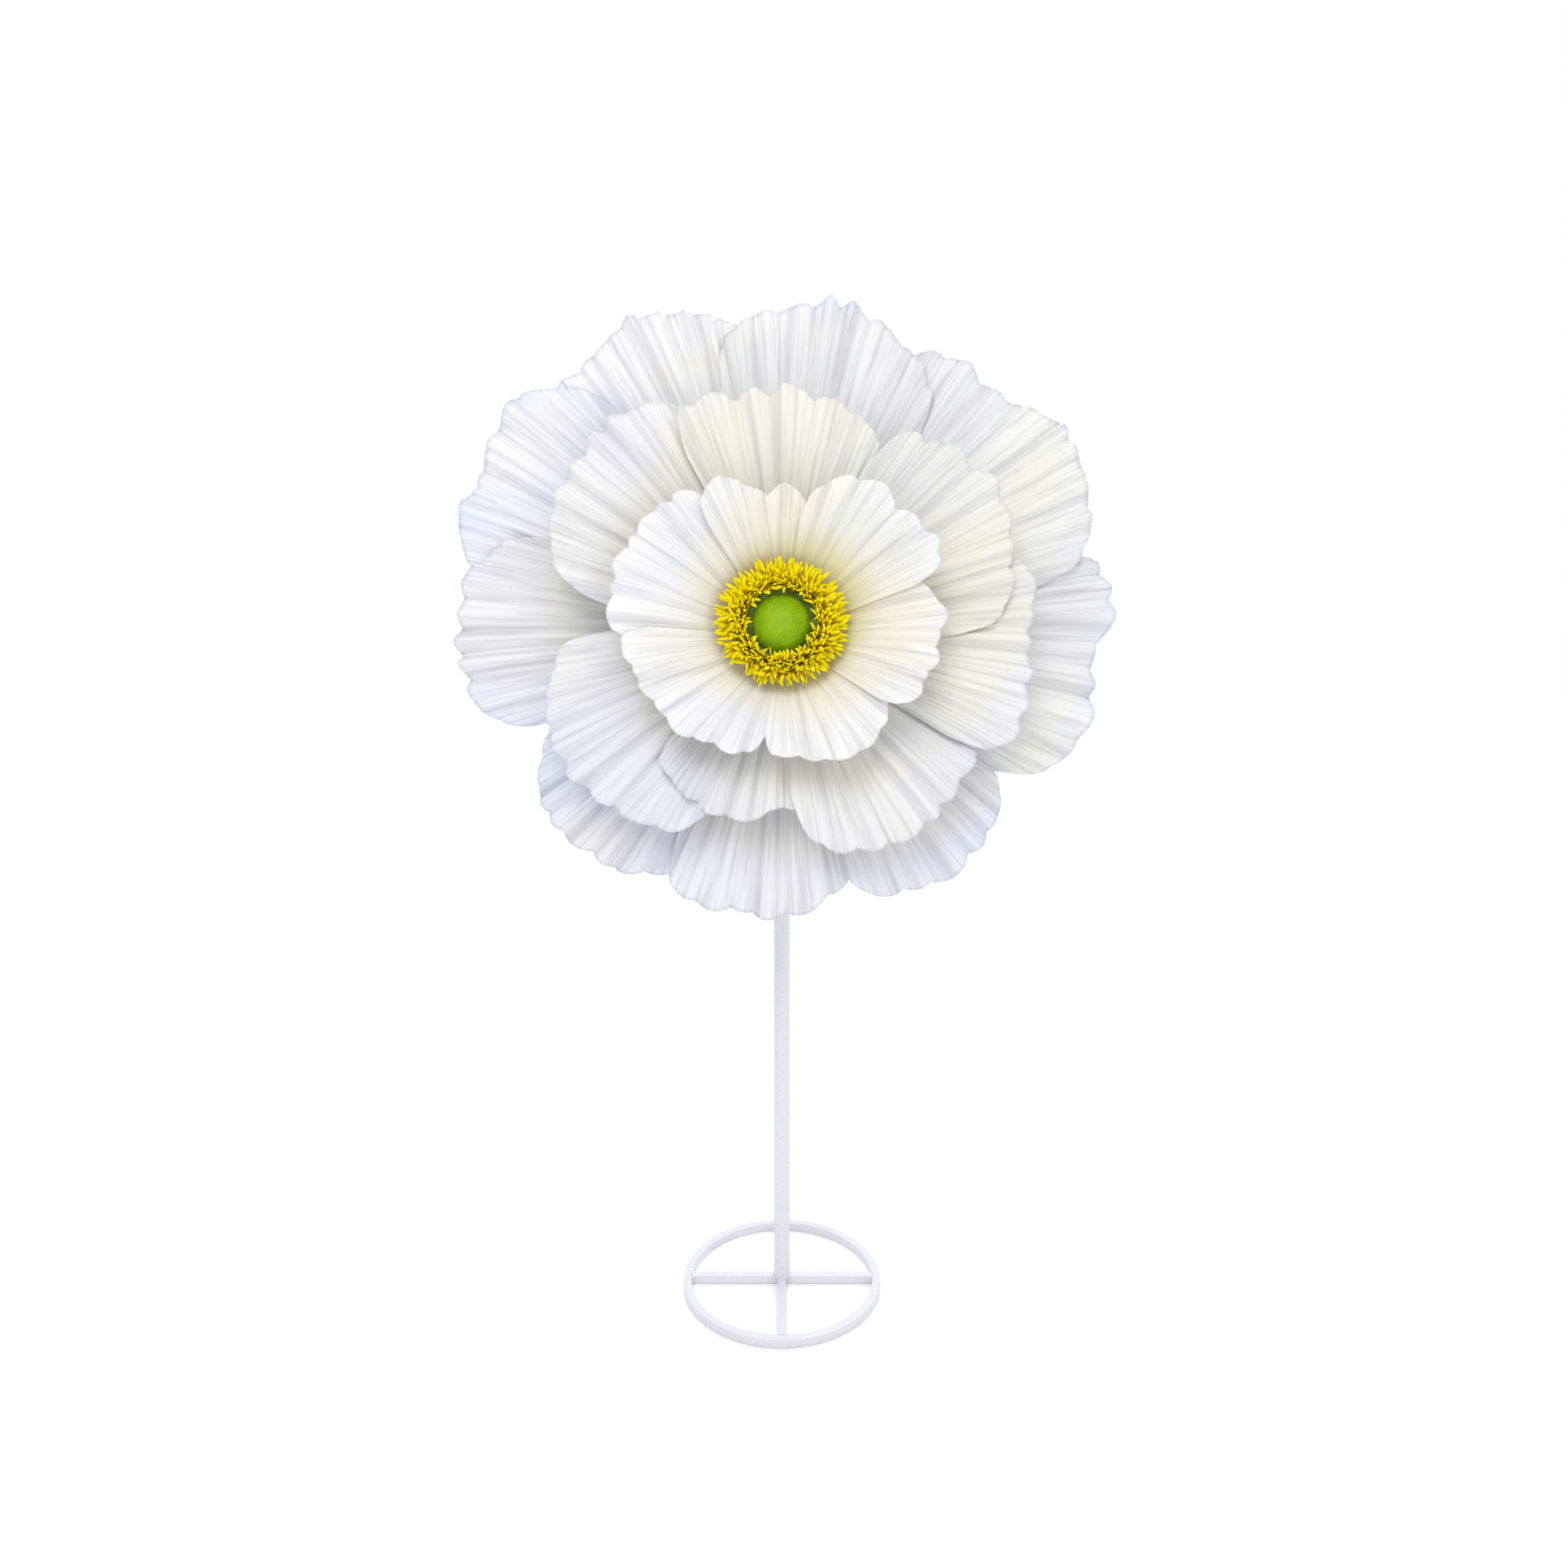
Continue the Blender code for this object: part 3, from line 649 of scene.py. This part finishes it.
def rounded_square(side, corner, steps=4):
    """Outline of a square bar's section: a quarter circle about each corner's own middle."""
    quarter = np.linspace(0, math.pi / 2, steps + 1)
    half = side / 2 - corner
    parts = []
    for k in range(4):
        turn = quarter + k * math.pi / 2
        sx, sy = (1, -1, -1, 1)[k], (1, 1, -1, -1)[k]
        parts.append(np.stack([sx * half + corner * np.cos(turn), sy * half + corner * np.sin(turn)], -1))
    return np.concatenate(parts)


def make_base(paint):
    """Ring and cross bars, of square bar with softly rounded edges."""
    section = rounded_square(BAR - 0.0001, BAR_CORNER)
    turn = 2 * math.pi * np.arange(240) / 240
    middle_r = RING_OUTER_R - BAR / 2
    out = np.stack([np.cos(turn), np.sin(turn), 0 * turn], -1)
    up = np.broadcast_to(np.array([0.0, 0.0, 1.0]), out.shape)
    places = middle_r * out + np.array([0, 0, BAR / 2])
    swept("ring_of_square_bar", places, out, up, section, paint, "white_steel", ["base_ring"], closed=True)
    for node in ("base_bar_cross", "base_bar_front", "base_bar_back"):
        low, high = (np.array(corner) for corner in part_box(node))
        axis = 0 if node == "base_bar_cross" else 1
        run = np.zeros(3)
        run[axis] = 1
        ends = np.array([low[axis], high[axis]])
        ends = ends + np.where(np.abs(ends) > RING_OUTER_R / 2, INTO_RING, -BUTT_GAP) * np.sign(ends)
        places = (low + high)[None, :] / 2 + (ends - (low + high)[axis] / 2)[:, None] * run
        side = np.cross(np.array([0.0, 0.0, 1.0]), run)
        swept(node + "_bar", places, np.tile(side, (2, 1)), up[:2], section, paint, "white_steel", [node])


def make_pole(paint):
    """The bent tube: a straight run up, an arc that bends it forward, and a straight run to the flange.

    A small weld bead lies round it where it stands on the cross and where it meets the flange.
    """
    low, high = (np.array(corner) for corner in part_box("pole"))
    bend = math.pi / 2 - HEAD_TILT
    flange_low, flange_high = (np.array(corner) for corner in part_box("flange_plate"))
    flange = (flange_low + flange_high) / 2
    end = HEAD_ORIGIN + OUT * (np.dot(flange - HEAD_ORIGIN, OUT) - FLANGE_HALF)
    run = (-end[1] - BEND_R * (1 - math.cos(bend))) / math.sin(bend)
    bend_z = end[2] - BEND_R * math.sin(bend) - run * math.cos(bend)
    foot = low[2]
    climb = np.linspace(0, 0.92, 7)
    straight = np.stack([0 * climb, 0 * climb, foot + climb * (bend_z - foot)], -1)
    turn = np.linspace(0, bend, 28)
    arc = np.stack([0 * turn, -BEND_R * (1 - np.cos(turn)), bend_z + BEND_R * np.sin(turn)], -1)
    run_out = arc[-1] + np.linspace(0.3, 1, 4)[:, None] * (end - arc[-1])
    places = np.concatenate([straight, arc, run_out])
    tilt = np.concatenate([0 * climb, turn, np.full(4, bend)])
    along = np.stack([0 * tilt, -np.sin(tilt), np.cos(tilt)], -1)
    across = np.tile(RIGHT, (len(places), 1))
    sides = 2 * math.pi * np.arange(64) / 64
    circle = POLE_R * np.stack([np.cos(sides), np.sin(sides)], -1)
    swept("bent_tube", places, across, np.cross(along, across), circle, paint, "white_steel", ["pole"])
    weld_bead("foot_weld", np.array([0, 0, foot]), RIGHT, np.array([0.0, 1.0, 0.0]), paint)
    weld_bead("flange_weld", end - 0.0004 * OUT, RIGHT, UP, paint)


def weld_bead(name, middle, across, up, paint):
    """A low uneven ring of weld round the tube: a small circle carried round it, swelling as it goes."""
    steps, sides = 120, 10
    turn = 2 * math.pi * np.arange(steps)[:, None] / steps
    small = 2 * math.pi * np.arange(sides)[None, :] / sides
    size = 0.0011 + 0.00012 * np.sin(17 * turn) + 0.0001 * np.sin(29 * turn + 1)
    radius = POLE_R + 0.0003 + size * np.cos(small)
    out = size * np.sin(small)
    normal = np.cross(across, up)
    points = (middle + (radius * np.cos(turn))[..., None] * across + (radius * np.sin(turn))[..., None] * up
              + out[..., None] * normal)
    faces = grid_faces(steps, sides, loop_rows=True, loop_columns=True)
    finish_piece(add_mesh(name, points, faces), paint, "white_steel")


def paint_frame_nodes():
    """Better surfaces on the frame's own solids that stay in view: discs, flange, screws and core."""
    steel = mottled("zinc_plate", (0.50, 0.50, 0.52), (0.66, 0.66, 0.68), 0.34, 60.0, metallic=1.0)
    wood = mottled("birch_ply", (0.55, 0.38, 0.20), (0.78, 0.62, 0.42), 0.66, 30.0, (1, 9, 9))
    card = mottled("grey_card", (0.55, 0.50, 0.42), (0.68, 0.62, 0.52), 0.85, 160.0)
    ochre = mottled("ochre_card", (0.50, 0.30, 0.01), (0.68, 0.46, 0.02), 0.85, 160.0)
    for name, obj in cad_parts.items():
        if name.startswith("flange"):
            surface = steel
        elif name == "backing_disc":
            surface = wood
        elif name == "centre_core":
            surface = ochre
        elif name.startswith("card_disc"):
            surface = card
        else:
            continue
        obj.data.materials.clear()
        obj.data.materials.append(surface)


# ---------------------------------------------------------------- studio

def make_studio():
    """A plain pale floor, white surroundings, a large soft key light, a fill and a top light.

    The floor glows a little more with distance. The surroundings are brighter behind the flower than
    before it, as a lit white wall would be.
    """
    bpy.ops.mesh.primitive_circle_add(vertices=96, radius=30, fill_type="NGON", location=(0, 0, -0.0002))
    floor = bpy.context.object
    floor.name = "studio_floor"
    n = Nodes("floor_white")
    n.shader.inputs["Base Color"].default_value = (0.95, 0.95, 0.95, 1)
    n.shader.inputs["Roughness"].default_value = 0.8
    where = n.add("ShaderNodeTexCoord").outputs["Object"]
    far = n.add("ShaderNodeVectorMath", {0: where}, operation="LENGTH")
    glow = n.add("ShaderNodeMapRange", {"Value": far.outputs["Value"], "From Min": 0.0, "From Max": 6.0,
                                        "To Min": 0.04, "To Max": 0.30})
    n.shader.inputs["Emission Color"].default_value = (1, 1, 1, 1)
    n.join(glow.outputs["Result"], n.shader.inputs["Emission Strength"])
    floor.data.materials.append(n.material)

    world = bpy.data.worlds.new("studio_world")
    bpy.context.scene.world = world
    world.use_nodes = True
    tree = world.node_tree
    direction = tree.nodes.new("ShaderNodeTexCoord")
    apart = tree.nodes.new("ShaderNodeSeparateXYZ")
    ramp = tree.nodes.new("ShaderNodeMapRange")
    for target, value in (("From Min", -0.2), ("From Max", 0.5), ("To Min", 0.67), ("To Max", 1.015)):
        ramp.inputs[target].default_value = value
    tree.links.new(direction.outputs["Generated"], apart.inputs["Vector"])
    tree.links.new(apart.outputs["Y"], ramp.inputs["Value"])
    background = tree.nodes["Background"]
    tree.links.new(ramp.outputs["Result"], background.inputs["Strength"])
    background.inputs["Color"].default_value = (0.985, 0.99, 1.0, 1)
    soft_light("key", (-0.5, -1.75, 2.5), (0, -0.12, 0.78), 1.5, 24, (1.0, 0.985, 0.96))
    soft_light("fill", (1.5, -1.5, 1.4), (0.15, -0.12, 0.78), 1.2, 6, (1.0, 0.985, 0.965))
    soft_light("top", (0.3, 1.3, 2.1), (0, 0, 0), 1.2, 13, (1.0, 1.0, 1.0))


def soft_light(name, place, target, size, watts, colour):
    """A square area light that looks at a point."""
    lamp = bpy.data.lights.new(name, "AREA")
    lamp.size = size
    lamp.energy = watts
    lamp.color = colour
    obj = bpy.data.objects.new(name, lamp)
    bpy.context.scene.collection.objects.link(obj)
    obj.location = place
    obj.rotation_euler = (Vector(target) - Vector(place)).to_track_quat("-Z", "Y").to_euler()


def make_camera():
    """The camera: close in front, a little above the middle of the pole, looking slightly down."""
    camera = bpy.data.cameras.new("camera")
    camera.sensor_width = 36
    camera.lens = 22.57
    obj = bpy.data.objects.new("camera", camera)
    bpy.context.scene.collection.objects.link(obj)
    obj.location = (0.0026, -1.1273, 0.750)
    obj.rotation_euler = (math.radians(90 - 6.8), 0, 0)
    bpy.context.scene.camera = obj


make_camera()
make_studio()
# Painted shade: the three layers are one paper, but the outer and middle rims are darker and bluer than the
# inner rim, and the inner heart's stronger yellow is partly painted shade.
make_petals({
    "outer": petal_paper("outer_petal_paper", (0.89, 0.91, 0.965), (0.88, 0.86, 0.66), 90.0, 0.76),
    "middle": petal_paper("middle_petal_paper", (0.915, 0.92, 0.935), (0.89, 0.87, 0.66), 80.0, 0.56),
    "inner": petal_paper("inner_petal_paper", (0.985, 0.985, 0.985), (0.92, 0.88, 0.56), 60.0, 0.32),
})
make_centre()
powder_coat = mottled("white_powder_coat", (0.70, 0.705, 0.765), (0.73, 0.735, 0.79), 0.28, 700.0,
                      bump=0.00004)
make_base(powder_coat)
make_pole(powder_coat)
paint_frame_nodes()
bpy.context.scene.view_settings.view_transform = "Standard"
